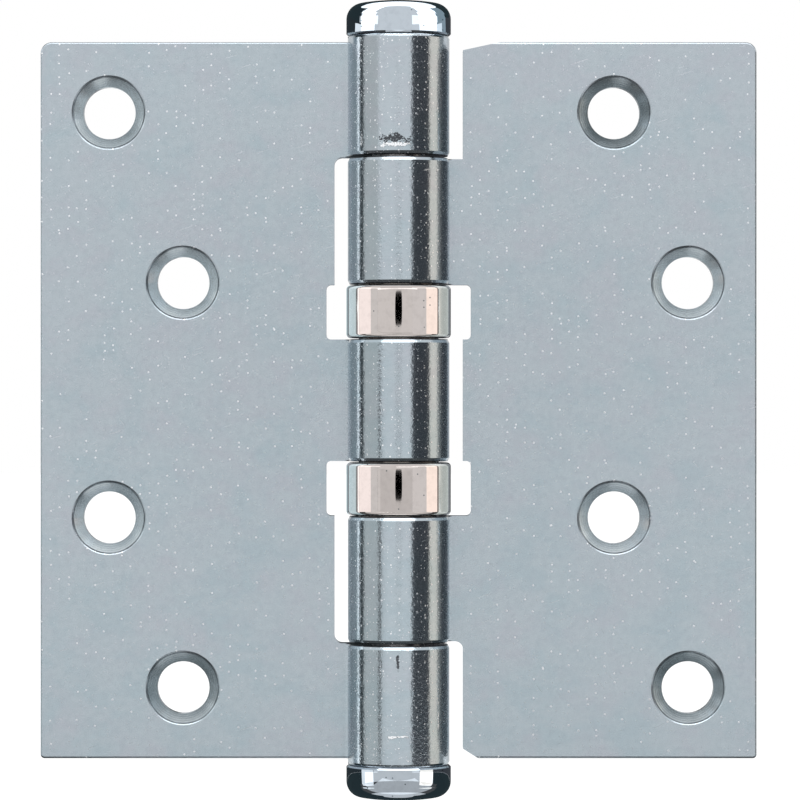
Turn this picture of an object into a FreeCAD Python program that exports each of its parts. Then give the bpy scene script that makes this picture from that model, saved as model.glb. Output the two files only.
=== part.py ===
"""A ball bearing butt hinge, laid open flat, in millimetres.

The pin's axis is Z and the origin is at its middle. The leaves lie along X, the left one
towards -X, and their countersunk faces look towards -Y, where the barrel stands proud.
"""
import FreeCAD, Part
import math
import os

import Sketcher
from FreeCAD import Placement, Rotation, Vector

# The driving sizes. Each is written once, here, and everything else is worked out from them.
SIZES = {
    # the two leaves, from side edge to side edge and from end to end, and their sheet
    "open_width": 89.0,
    "leaf_height": 89.0,
    "sheet_thick": 3.0,
    "closed_gap": 3.0,
    # the curl of the sheet round the pin
    "pin_dia": 6.5,
    "pin_clear": 0.05,
    "swage_radius": 1.5,
    "seam_gap": 0.2,
    # the barrel, from its middle knuckle outwards
    "middle_knuckle": 15.1,
    "bearing_space": 6.8,
    "inner_knuckle": 15.6,
    "knuckle_gap": 0.25,
    "barrel_over": 0.65,
    "bevel_height": 0.45,
    "bevel_depth": 0.22,
    # the slots and notches that a leaf leaves free for the other's knuckles and the bearings
    "slot_clear": 1.7,
    "notch_clear": 2.54,
    "slot_corner": 1.0,
    "notch_corner": 0.6,
    "top_cut_run": 4.6,
    "top_cut_drop": 1.0,
    "low_cut_run": 1.9,
    "low_cut_drop": 1.2,
    # the plate's outer corners and the soft edge that blanking leaves on its front
    "top_corner": 1.4,
    "low_corner": 0.5,
    "edge_roll": 0.25,
    # the countersunk screw holes, in two columns and four rows
    "screw_dia": 6.5,
    "sink_dia": 9.0,
    "sink_angle": 90.0,
    "outer_column": 8.5,
    "inner_column": 17.7,
    "end_row": 8.75,
    "row_pitch": 21.15,
    # the pin's splined bands, which hold it in the end knuckles, and its spigots
    "spline_start": 2.4,
    "spline_length": 9.0,
    "flute_depth": 0.15,
    "flute_width": 0.6,
    "spigot_dia": 5.0,
    "spigot_length": 2.6,
    # the end caps
    "cap_proud": 0.17,
    "cap_height": 4.35,
    "cap_crown": 30.0,
    "cap_shoulder": 1.95,
    "cap_bevel": 0.2,
    "cap_head_clear": 0.2,
    # the bearings: collar, races and balls
    "collar_proud": 0.16,
    "collar_wall": 0.5,
    "collar_gap": 0.15,
    "collar_round": 0.5,
    "lip_width": 0.9,
    "race_clear": 0.1,
    "float_clear": 0.05,
    "groove_depth": 0.4,
    "ball_dia": 2.38,
    "ball_clear": 0.03,
    "ball_gap": 0.3,
}
FLUTES = 8
SHEET = "Sizes"
ORIGIN = (-1, 1)
LEFT, RIGHT = -1, 1


class Size:
    """A number, with the text that works it out from the sheet's cells."""

    def __init__(self, value, text):
        self.value = float(value)
        self.text = text

    @staticmethod
    def of(other):
        """A plain number as a Size, and a Size as it is."""
        return other if isinstance(other, Size) else Size(other, f"{other:g}")

    def joined(self, sign, other, value):
        """The Size of this one and another, joined by a sign."""
        return Size(value, f"({self.text} {sign} {other.text})")

    def __add__(self, other):
        other = Size.of(other)
        return self.joined("+", other, self.value + other.value)

    def __sub__(self, other):
        other = Size.of(other)
        return self.joined("-", other, self.value - other.value)

    def __mul__(self, other):
        other = Size.of(other)
        return self.joined("*", other, self.value * other.value)

    def __truediv__(self, other):
        other = Size.of(other)
        return self.joined("/", other, self.value / other.value)

    def __neg__(self):
        return Size(-self.value, f"(-1 * {self.text})")

    def __rsub__(self, other):
        return Size.of(other) - self

    __rmul__ = __mul__

    def root(self):
        """The square root."""
        return Size(math.sqrt(self.value), f"sqrt({self.text})")

    def arcsine(self):
        """The angle whose sine this is, in degrees."""
        return Size(math.degrees(math.asin(self.value)), f"(asin({self.text}) / (1 deg))")


doc = FreeCAD.newDocument("butt_hinge")
sheet = doc.addObject("Spreadsheet::Sheet", SHEET)
for row, (alias, number) in enumerate(SIZES.items(), 1):
    sheet.set(f"A{row}", alias)
    sheet.set(f"B{row}", f"{number:g}")
    sheet.setAlias(f"B{row}", alias)
doc.recompute()


def cell(alias):
    """The size in one of the sheet's cells."""
    return Size(SIZES[alias], f"{SHEET}.{alias}")


# Sizes that the whole hinge shares
sheet_thick = cell("sheet_thick")
front = cell("closed_gap") / 2
pin_r = cell("pin_dia") / 2
bore_r = pin_r + cell("pin_clear")
barrel_r = bore_r + sheet_thick
half_width = cell("open_width") / 2
half_height = cell("leaf_height") / 2
barrel_end = half_height + cell("barrel_over")
# Heights along the barrel, from its middle outwards
middle_top = cell("middle_knuckle") / 2
bearing_top = middle_top + cell("bearing_space")
inner_top = bearing_top + cell("inner_knuckle")
outer_start = inner_top + cell("knuckle_gap")
bearing_mid = (middle_top + bearing_top) / 2
# How far the plates stay away from the pin's axis
collar_r = barrel_r + cell("collar_proud")
slot_reach = barrel_r + cell("slot_clear")
notch_reach = collar_r + cell("notch_clear")
# The swage bends the sheet back round a centre behind it, as far from the pin's axis as the hub
inner_bend = cell("swage_radius")
outer_bend = inner_bend + sheet_thick
bend_y = front + outer_bend
hub = bore_r + outer_bend
bend_angle = (bend_y / hub).arcsine()
# The curl ends on a line through the pin's axis, just short of the plate's front face
seam_y = front - cell("seam_gap")
seam_angle = (seam_y / barrel_r).arcsine()
# A cut runs this far past the solid it takes away
past = sheet_thick


def plane(body, role):
    """One of a body's own origin planes."""
    return next(item for item in body.Origin.OriginFeatures if item.Role == role)


def new_body(label):
    """An empty body under its own name."""
    body = doc.addObject("PartDesign::Body", label)
    body.Label = label
    return body


def new_sketch(body, name, role, lift=None):
    """A sketch on one of the body's origin planes, lifted off it along its normal."""
    sketch = body.newObject("Sketcher::SketchObject", name)
    sketch.AttachmentSupport = [(plane(body, role), "")]
    sketch.MapMode = "FlatFace"
    if lift is not None:
        sketch.setExpression("AttachmentOffset.Base.z", lift.text)
    return sketch


def drive(sketch, size, *constraint):
    """Add a constraint whose value follows a size."""
    index = sketch.addConstraint(Sketcher.Constraint(*constraint, size.value))
    sketch.setExpression(f"Constraints[{index}]", size.text)


def hold(sketch, point, across, along):
    """Hold a point, given as geometry and end, at a place in the sketch."""
    drive(sketch, across, "DistanceX", *ORIGIN, *point)
    drive(sketch, along, "DistanceY", *ORIGIN, *point)


def add_loop(sketch, corners):
    """Draw a closed loop of straight lines, with each of its corners held by its sizes."""
    points = [Vector(across.value, along.value, 0) for across, along in corners]
    first = sketch.GeometryCount
    for index, point in enumerate(points):
        following = points[(index + 1) % len(points)]
        sketch.addGeometry(Part.LineSegment(point, following), False)
    for index, corner in enumerate(corners):
        line = first + index
        before = first + (index - 1) % len(corners)
        sketch.addConstraint(Sketcher.Constraint("Coincident", before, 2, line, 1))
        hold(sketch, (line, 1), *corner)


def add_circle(sketch, centre, radius):
    """Draw a circle, held by its centre and radius."""
    place = Vector(centre[0].value, centre[1].value, 0)
    circle = sketch.addGeometry(Part.Circle(place, Vector(0, 0, 1), radius.value), False)
    hold(sketch, (circle, 3), *centre)
    drive(sketch, radius, "Radius", circle)
    return circle


def revolve(body, sketch, kind="Revolution"):
    """Turn a sketch on the XZ plane once round the pin's axis, as solid or as a groove."""
    feature = body.newObject(f"PartDesign::{kind}", f"{body.Label}_{kind.lower()}")
    feature.Profile = sketch
    feature.ReferenceAxis = (sketch, ["V_Axis"])
    feature.Angle = 360.0
    return feature


def edges_of(feature, test):
    """The names of a feature's edges that pass a test."""
    return [f"Edge{number}" for number, edge in enumerate(feature.Shape.Edges, 1) if test(edge)]


def soften(body, kind, name, base, test, size):
    """Round or bevel the edges of a feature that pass a test."""
    doc.recompute()
    feature = body.newObject(f"PartDesign::{kind}", name)
    feature.Base = (base, edges_of(base, test))
    feature.setExpression("Radius" if kind == "Fillet" else "Size", size.text)
    return feature


def near(number, size):
    """Whether a number is a size's value."""
    return abs(number - size.value) < 1e-4


def is_ring(radius, height):
    """A test for a whole circle round the pin's axis, of a radius and at a height."""
    def test(edge):
        box = edge.BoundBox
        return near(box.XMax, radius) and near(-box.XMin, radius) and near(box.ZMin, height) \
            and near(box.ZMax, height)
    return test


def place(part, height, flipped=False):
    """Put a turned part at a height on the pin's axis, the other way up if flipped."""
    turn = Rotation(Vector(1, 0, 0), 180 if flipped else 0)
    part.Placement = Placement(Vector(0, 0, height.value), turn)
    part.setExpression("Placement.Base.z", height.text)
    return part


# The leaves: a plate swaged back and curled once round the pin, then slotted for the other leaf

def add_curl_section(sketch, side):
    """Draw the section of a plate and its curl, seen along the pin.

    The sheet runs from the side edge to the swage, which bends it backwards, and from there
    round behind the pin, past its far side and its front, to the seam.
    """
    bend_x = math.sqrt(hub.value ** 2 - bend_y.value ** 2)
    back = front + sheet_thick
    turn = bend_angle.value
    seam = seam_angle.value
    normal = Vector(0, 0, 1)
    bend = Vector(side * bend_x, bend_y.value, 0)

    def arc(centre, radius, begin, end):
        """An arc between two angles, measured from the leaf's own side of the pin."""
        if side == LEFT:
            begin, end = 180 - end, 180 - begin
        circle = Part.Circle(centre, normal, radius.value)
        return Part.ArcOfCircle(circle, math.radians(begin), math.radians(end))

    def point(across, along):
        return Vector(side * across, along, 0)

    def on_pin(radius, angle):
        return point(radius * math.cos(math.radians(angle)), radius * math.sin(math.radians(angle)))

    bend_end = 180 + turn
    front_edge = point(half_width.value, front.value)
    back_edge = point(half_width.value, back.value)
    lines = [
        Part.LineSegment(front_edge, back_edge),
        Part.LineSegment(back_edge, point(bend_x, back.value)),
        Part.LineSegment(on_pin(barrel_r.value, seam), on_pin(bore_r.value, seam)),
        Part.LineSegment(point(bend_x, front.value), front_edge),
    ]
    edge, rear, end, face = (sketch.addGeometry(line, False) for line in lines)
    arcs = [
        arc(bend, inner_bend, bend_end, 270),
        arc(Vector(), barrel_r, turn, 360 + seam),
        arc(Vector(), bore_r, turn, 360 + seam),
        arc(bend, outer_bend, bend_end, 270),
    ]
    hollow, barrel, bore, swell = (sketch.addGeometry(item, False) for item in arcs)

    # An arc's ends swap between the two leaves, because it always runs anticlockwise
    far, root = (2, 1) if side == RIGHT else (1, 2)
    join = [
        ("Coincident", face, 2, edge, 1),
        ("Coincident", edge, 2, rear, 1),
        ("Tangent", rear, 2, hollow, far),
        ("Tangent", hollow, root, barrel, root),
        ("Coincident", barrel, far, end, 1),
        ("Coincident", end, 2, bore, far),
        ("Tangent", bore, root, swell, root),
        ("Tangent", swell, far, face, 1),
        ("Vertical", edge),
        ("Horizontal", rear),
        ("Horizontal", face),
        ("Coincident", barrel, 3, *ORIGIN),
        ("Coincident", bore, 3, *ORIGIN),
        ("Coincident", hollow, 3, swell, 3),
        ("PointOnObject", *ORIGIN, end),
    ]
    for entry in join:
        sketch.addConstraint(Sketcher.Constraint(*entry))
    hold(sketch, (edge, 1), side * half_width, front)
    drive(sketch, bore_r, "Radius", bore)
    drive(sketch, inner_bend, "Radius", hollow)
    drive(sketch, outer_bend, "Radius", swell)
    drive(sketch, seam_y, "DistanceY", *ORIGIN, end, 1)


def mirrored(loop):
    """A loop turned upside down."""
    return [(reach, -height) for reach, height in loop]


far_side = -(barrel_r + past)
beyond_end = barrel_end + past


def left_cuts():
    """What is cut from the left leaf: two windows, and a strip of plate at each end."""
    window = [
        (slot_reach, outer_start), (far_side, outer_start), (far_side, middle_top),
        (notch_reach, middle_top), (notch_reach, bearing_top), (slot_reach, bearing_top),
    ]
    beyond_edge = half_width + past
    strip = [
        (barrel_r, half_height), (beyond_edge, half_height),
        (beyond_edge, beyond_end), (barrel_r, beyond_end),
    ]
    return [window, mirrored(window), strip, mirrored(strip)]


def right_cuts():
    """What is cut from the right leaf: the middle window, and one at each end with a slanted corner."""
    middle = [
        (slot_reach, -middle_top), (slot_reach, middle_top),
        (notch_reach, middle_top), (notch_reach, bearing_top), (far_side, bearing_top),
        (far_side, -bearing_top), (notch_reach, -bearing_top), (notch_reach, -middle_top),
    ]

    def end_window(run, drop):
        return [
            (slot_reach, inner_top), (slot_reach, half_height - drop),
            (slot_reach + run, half_height), (slot_reach + run, beyond_end),
            (far_side, beyond_end), (far_side, inner_top),
        ]

    top = end_window(cell("top_cut_run"), cell("top_cut_drop"))
    low = end_window(cell("low_cut_run"), cell("low_cut_drop"))
    return [middle, top, mirrored(low)]


def left_corners():
    """The left leaf's inner corners, as places and radii."""
    places = []
    for height in (outer_start, -outer_start):
        places.append((slot_reach, height, cell("slot_corner")))
    for height in (middle_top, bearing_top, -middle_top, -bearing_top):
        places.append((notch_reach, height, cell("notch_corner")))
    return places


def right_corners():
    """The right leaf's inner corners; the top window's is left square."""
    places = [(slot_reach, -inner_top, cell("slot_corner"))]
    for height in (middle_top, bearing_top, -middle_top, -bearing_top):
        places.append((notch_reach, height, cell("notch_corner")))
    return places


# The four rows of holes, from the top, and the column of each in the left leaf
row_heights = [
    half_height - cell("end_row"),
    half_height - cell("end_row") - cell("row_pitch"),
    -(half_height - cell("end_row") - cell("row_pitch")),
    -(half_height - cell("end_row")),
]
outer_reach = half_width - cell("outer_column")
inner_reach = half_width - cell("inner_column")
COLUMNS = {
    LEFT: [outer_reach, inner_reach, outer_reach, inner_reach],
    RIGHT: [inner_reach, outer_reach, inner_reach, outer_reach],
}


def is_upright(side, reach, height):
    """A test for a plate's edge along Y at a place seen from the front."""
    def test(edge):
        box = edge.BoundBox
        flat = box.XLength < 1e-4 and box.ZLength < 1e-4
        return flat and near(box.XMin, side * reach) and near(box.ZMin, height)
    return test


def is_front_rim(side):
    """A test for the front edges of a plate's outline, without its windows and holes."""
    def test(edge):
        box = edge.BoundBox
        on_front = near(box.YMin, front) and near(box.YMax, front)
        middle = edge.valueAt((edge.FirstParameter + edge.LastParameter) / 2)
        outermost = near(side * middle.x, half_width) or near(abs(middle.z), half_height)
        return on_front and outermost
    return test


def leaf(label, side, length, cuts, corners, knuckles):
    """One leaf: section, windows, corners, screw holes, soft rim and bevelled knuckle ends."""
    body = new_body(label)
    section = new_sketch(body, f"{label}_section", "XY_Plane")
    add_curl_section(section, side)
    pad = body.newObject("PartDesign::Pad", f"{label}_sheet")
    pad.Profile = section
    pad.SideType = "Symmetric"
    pad.setExpression("Length", length.text)

    windows = new_sketch(body, f"{label}_windows", "XZ_Plane")
    for loop in cuts:
        add_loop(windows, [(side * reach, height) for reach, height in loop])
    slots = body.newObject("PartDesign::Pocket", f"{label}_slots")
    slots.Profile = windows
    slots.SideType = "Symmetric"
    slots.Type = "ThroughAll"

    last = slots
    outer = [(half_width, half_height, cell("top_corner")), (half_width, -half_height, cell("low_corner"))]
    for number, (reach, height, radius) in enumerate(outer + corners, 1):
        name = f"{label}_corner_{number}"
        last = soften(body, "Fillet", name, last, is_upright(side, reach, height), radius)
    last = soften(body, "Fillet", f"{label}_rim", last, is_front_rim(side), cell("edge_roll"))

    doc.recompute()
    centres = new_sketch(body, f"{label}_hole_centres", "XZ_Plane", -front)
    for reach, height in zip(COLUMNS[side], row_heights):
        add_circle(centres, (side * reach, height), cell("screw_dia") / 2)
    doc.recompute()
    holes = body.newObject("PartDesign::Hole", f"{label}_holes")
    holes.Profile = centres
    doc.recompute()
    holes.ThreadType = "None"
    holes.DepthType = "ThroughAll"
    holes.HoleCutType = "Countersink"
    holes.HoleCutCustomValues = True
    holes.setExpression("Diameter", cell("screw_dia").text)
    holes.setExpression("HoleCutDiameter", cell("sink_dia").text)
    holes.setExpression("HoleCutCountersinkAngle", cell("sink_angle").text)

    bevel = cell("bevel_height")
    depth = cell("bevel_depth")
    rings = new_sketch(body, f"{label}_bevels", "XZ_Plane")
    for end, way in knuckles:
        outside = side * (barrel_r + depth)
        add_loop(rings, [
            (side * (barrel_r - depth), end), (outside, end), (outside, end - way * bevel * 2),
        ])
    groove = revolve(body, rings, "Groove")
    groove.Type = "TwoAngles"
    groove.Reversed = side == LEFT
    groove.setExpression("Angle", seam_angle.text)
    groove.setExpression("Angle2", (360 - bend_angle).text)
    return body


# The barrel's turned pieces

def hinge_pin():
    """The pin: a shaft with a splined band in each end knuckle and a spigot under each cap."""
    body = new_body("hinge_pin")
    spigot_r = cell("spigot_dia") / 2
    spigot_end = barrel_end + cell("spigot_length")
    band_out = barrel_end - cell("spline_start")
    band_in = band_out - cell("spline_length")
    zero = Size(0, "0")
    half = [
        (pin_r, band_in), (bore_r, band_in), (bore_r, band_out), (pin_r, band_out),
        (pin_r, barrel_end), (spigot_r, barrel_end), (spigot_r, spigot_end), (zero, spigot_end),
    ]
    profile = new_sketch(body, "hinge_pin_profile", "XZ_Plane")
    add_loop(profile, mirrored(half)[::-1] + half)
    shaft = revolve(body, profile)

    flutes = []
    for number, (low, way) in enumerate(((band_in, 1), (-band_in, -1)), 1):
        sketch = new_sketch(body, f"hinge_pin_flute_{number}", "XY_Plane", low)
        width = cell("flute_width")
        depth = cell("flute_depth")
        top = bore_r + depth
        add_loop(sketch, [(bore_r - depth, zero), (top, -width), (top, width)])
        flute = body.newObject("PartDesign::Pocket", f"hinge_pin_groove_{number}")
        flute.Profile = sketch
        flute.Reversed = way > 0
        flute.setExpression("Length", cell("spline_length").text)
        flutes.append(flute)
    doc.recompute()
    splines = body.newObject("PartDesign::PolarPattern", "hinge_pin_splines")
    splines.Originals = flutes
    splines.Axis = (profile, ["V_Axis"])
    splines.Angle = 360.0
    splines.Occurrences = FLUTES
    body.Tip = splines
    return body


def cap(label, flipped):
    """A domed cap, pressed on a spigot, seated on the end of the barrel."""
    body = new_body(label)
    rim = barrel_r + cell("cap_proud")
    top = cell("cap_height")
    bore = cell("spigot_dia") / 2
    depth = cell("spigot_length") + cell("cap_head_clear")
    crown = cell("cap_crown")
    shoulder = cell("cap_shoulder")
    bevel = cell("cap_bevel")
    zero = Size(0, "0")
    crown_centre = top - crown
    across = rim - shoulder
    reach = crown - shoulder
    shoulder_centre = crown_centre + (reach * reach - across * across).root()
    lean = math.atan2(shoulder_centre.value - crown_centre.value, across.value)

    profile = new_sketch(body, f"{label}_profile", "XZ_Plane")
    corners = [
        (rim, shoulder_centre), (rim, bevel), (rim - bevel, zero), (bore, zero), (bore, depth),
        (zero, depth), (zero, top),
    ]
    points = [Vector(x.value, z.value, 0) for x, z in corners]
    for begin, end in zip(points, points[1:]):
        profile.addGeometry(Part.LineSegment(begin, end), False)
    last = len(points) - 2
    for line in range(1, last + 1):
        profile.addConstraint(Sketcher.Constraint("Coincident", line - 1, 2, line, 1))
        hold(profile, (line, 1), *corners[line])
    hold(profile, (last, 2), *corners[-1])
    drive(profile, rim, "DistanceX", *ORIGIN, 0, 1)

    axis = Vector(0, 0, 1)
    dome = Part.Circle(Vector(0, crown_centre.value, 0), axis, crown.value)
    dome_arc = profile.addGeometry(Part.ArcOfCircle(dome, lean, math.pi / 2), False)
    turn = Part.Circle(Vector(across.value, shoulder_centre.value, 0), axis, shoulder.value)
    turn_arc = profile.addGeometry(Part.ArcOfCircle(turn, 0, lean), False)
    for entry in (
        ("Coincident", last, 2, dome_arc, 2),
        ("Tangent", dome_arc, 1, turn_arc, 2),
        ("Tangent", turn_arc, 1, 0, 1),
        ("PointOnObject", dome_arc, 3, -2),
    ):
        profile.addConstraint(Sketcher.Constraint(*entry))
    drive(profile, crown, "Radius", dome_arc)
    drive(profile, shoulder, "Radius", turn_arc)
    revolve(body, profile)
    return place(body, -barrel_end if flipped else barrel_end, flipped)


# The bearings: a collar that holds two races together with a ring of balls between them

ball_r = cell("ball_dia") / 2
collar_top = cell("bearing_space") / 2 - cell("collar_gap")
collar_inner = collar_r - cell("collar_wall")
lip_bottom = collar_top - cell("collar_wall")
lip_r = collar_inner - cell("lip_width")
race_rim = collar_inner - cell("race_clear")
race_top = cell("bearing_space") / 2
flange_top = lip_bottom - cell("float_clear")
flange_bottom = ball_r - cell("groove_depth")
boss_r = lip_r - cell("race_clear")
pitch_r = (race_rim + bore_r) / 2


def collar(label, height):
    """The bright ring round a bearing, with a lip turned in over each race."""
    body = new_body(label)
    profile = new_sketch(body, f"{label}_profile", "XZ_Plane")
    half = [(collar_inner, lip_bottom), (lip_r, lip_bottom), (lip_r, collar_top), (collar_r, collar_top)]
    add_loop(profile, half + mirrored(half)[::-1])
    last = revolve(body, profile)
    rims = (is_ring(collar_r, collar_top), is_ring(collar_r, -collar_top))
    soften(body, "Fillet", f"{label}_edges", last, lambda edge: any(rim(edge) for rim in rims),
           cell("collar_round"))
    return place(body, height)


def race(label, height, flipped):
    """A hardened washer: a boss against the knuckle, a flange, and a groove that the balls run in."""
    body = new_body(label)
    profile = new_sketch(body, f"{label}_profile", "XZ_Plane")
    add_loop(profile, [
        (bore_r, flange_bottom), (race_rim, flange_bottom), (race_rim, flange_top),
        (boss_r, flange_top), (boss_r, race_top), (bore_r, race_top),
    ])
    revolve(body, profile)
    track = new_sketch(body, f"{label}_track", "XZ_Plane")
    add_circle(track, (pitch_r, Size(0, "0")), ball_r + cell("ball_clear"))
    revolve(body, track, "Groove")
    return place(body, height, flipped)


def balls(prefix, height):
    """The ring of balls of one bearing, as many as its groove holds."""
    step = math.asin((ball_r.value + SIZES["ball_gap"] / 2) / pitch_r.value)
    count = int(math.pi / step)
    ring = []
    for index in range(count):
        angle = 360.0 * index / count
        ball = doc.addObject("Part::Sphere", f"{prefix}_{index + 1:02d}")
        ball.Label = f"{prefix}_{index + 1:02d}"
        ball.setExpression("Radius", ball_r.text)
        ball.setExpression("Placement.Base.x", f"{pitch_r.text} * cos({angle:.6f} deg)")
        ball.setExpression("Placement.Base.y", f"{pitch_r.text} * sin({angle:.6f} deg)")
        ball.setExpression("Placement.Base.z", height.text)
        ring.append(ball)
    return ring


def bearing(name, height):
    """A whole bearing at a height on the pin."""
    return [
        collar(f"{name}_bearing_collar", height),
        race(f"{name}_bearing_top_race", height, False),
        race(f"{name}_bearing_bottom_race", height, True),
        *balls(f"{name}_ball", height),
    ]


def write(parts):
    """Check every object and every part, then write each part to a file of its own."""
    doc.recompute()
    failed = [item.Name for item in doc.Objects if {"Invalid", "Error"} & set(item.State)]
    if failed:
        raise RuntimeError(f"failed: {failed}")
    for part in parts:
        if part.Shape.isNull() or not part.Shape.isValid():
            raise RuntimeError(f"bad shape: {part.Label}")
    os.makedirs("parts", exist_ok=True)
    for part in parts:
        part.Shape.exportStep(f"parts/{part.Label}.step")


write([
    leaf("left_leaf", LEFT, 2 * barrel_end, left_cuts(), left_corners(), [
        (barrel_end, 1), (outer_start, -1), (middle_top, 1),
        (-middle_top, -1), (-outer_start, 1), (-barrel_end, -1),
    ]),
    leaf("right_leaf", RIGHT, cell("leaf_height"), right_cuts(), right_corners(), [
        (inner_top, 1), (bearing_top, -1), (-bearing_top, 1), (-inner_top, -1),
    ]),
    hinge_pin(),
    cap("top_cap", False),
    cap("bottom_cap", True),
    *bearing("upper", bearing_mid),
    *bearing("lower", -bearing_mid),
])
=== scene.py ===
"""A ball bearing butt hinge, laid open flat and seen straight on, in metres.

The solids are the frame's own. Here they get their finishes, a studio round them and the camera.
"""
import logging
import math
from dataclasses import dataclass, field
from enum import Enum
from typing import Any, Iterable, NamedTuple, Sequence, Union

import bpy
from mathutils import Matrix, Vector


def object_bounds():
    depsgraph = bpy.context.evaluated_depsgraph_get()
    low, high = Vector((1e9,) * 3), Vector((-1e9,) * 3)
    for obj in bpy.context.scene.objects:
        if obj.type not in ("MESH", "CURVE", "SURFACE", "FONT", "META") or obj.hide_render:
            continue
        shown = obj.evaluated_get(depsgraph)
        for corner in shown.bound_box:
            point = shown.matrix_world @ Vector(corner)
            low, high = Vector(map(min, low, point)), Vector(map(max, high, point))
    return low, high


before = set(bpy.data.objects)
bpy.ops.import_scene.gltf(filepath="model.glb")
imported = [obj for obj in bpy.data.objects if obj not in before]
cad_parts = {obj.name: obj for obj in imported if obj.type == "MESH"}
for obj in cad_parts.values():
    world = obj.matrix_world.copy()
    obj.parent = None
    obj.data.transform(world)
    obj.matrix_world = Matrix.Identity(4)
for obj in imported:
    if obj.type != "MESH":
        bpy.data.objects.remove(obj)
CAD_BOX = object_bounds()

log = logging.getLogger("hinge")
Colour = tuple[float, float, float]
MM = 0.001
PLATE_FRONT = 1.5  # How far the leaves' fronts lie behind the pin's axis, in millimetres.
WHITE: Colour = (1.0, 1.0, 1.0)


class Sock:
    """A node's output that takes part in Python arithmetic: each operation adds a Math node."""

    def __init__(self, tree: "Tree", socket: bpy.types.NodeSocket) -> None:
        """Wrap an output socket of a tree."""
        self.tree = tree
        self.socket = socket

    def maths(self, operation: str, *others: "Value") -> "Sock":
        """Add a Math node whose first input is this.

        Args:
            operation: The Math node's operation.
            others: Its other inputs, in order.

        Returns:
            The node's output.
        """
        return self.tree.add("ShaderNodeMath", {"operation": operation}, dict(enumerate((self, *others))))

    def __add__(self, other: "Value") -> "Sock":
        """This plus another."""
        return self.maths("ADD", other)

    def __radd__(self, other: "Value") -> "Sock":
        """Another plus this."""
        return self.maths("ADD", other)

    def __sub__(self, other: "Value") -> "Sock":
        """This minus another."""
        return self.maths("SUBTRACT", other)

    def __rsub__(self, other: "Value") -> "Sock":
        """Another minus this."""
        return self.maths("MULTIPLY_ADD", -1.0, other)

    def __mul__(self, other: "Value") -> "Sock":
        """This times another."""
        return self.maths("MULTIPLY", other)

    def __rmul__(self, other: "Value") -> "Sock":
        """Another times this."""
        return self.maths("MULTIPLY", other)

    def root(self) -> "Sock":
        """The square root."""
        return self.maths("SQRT")

    def absolute(self) -> "Sock":
        """The value without its sign."""
        return self.maths("ABSOLUTE")

    def above(self, low: float, high: float) -> "Sock":
        """A soft step: 0 up to low, 1 from high on, and smooth between them.

        Args:
            low: Where the step begins.
            high: Where it ends. Below low, the step falls instead of rising.

        Returns:
            The step's value.
        """
        settings = {"interpolation_type": "SMOOTHSTEP", "clamp": True}
        values = {"Value": self, "From Min": low, "From Max": high}
        return self.tree.add("ShaderNodeMapRange", settings, values)

    def part(self, name: str) -> "Sock":
        """One coordinate of a vector, X, Y or Z."""
        return self.tree.add("ShaderNodeSeparateXYZ", {}, {0: self}, output=name)


Value = Union[float, Sock]


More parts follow.
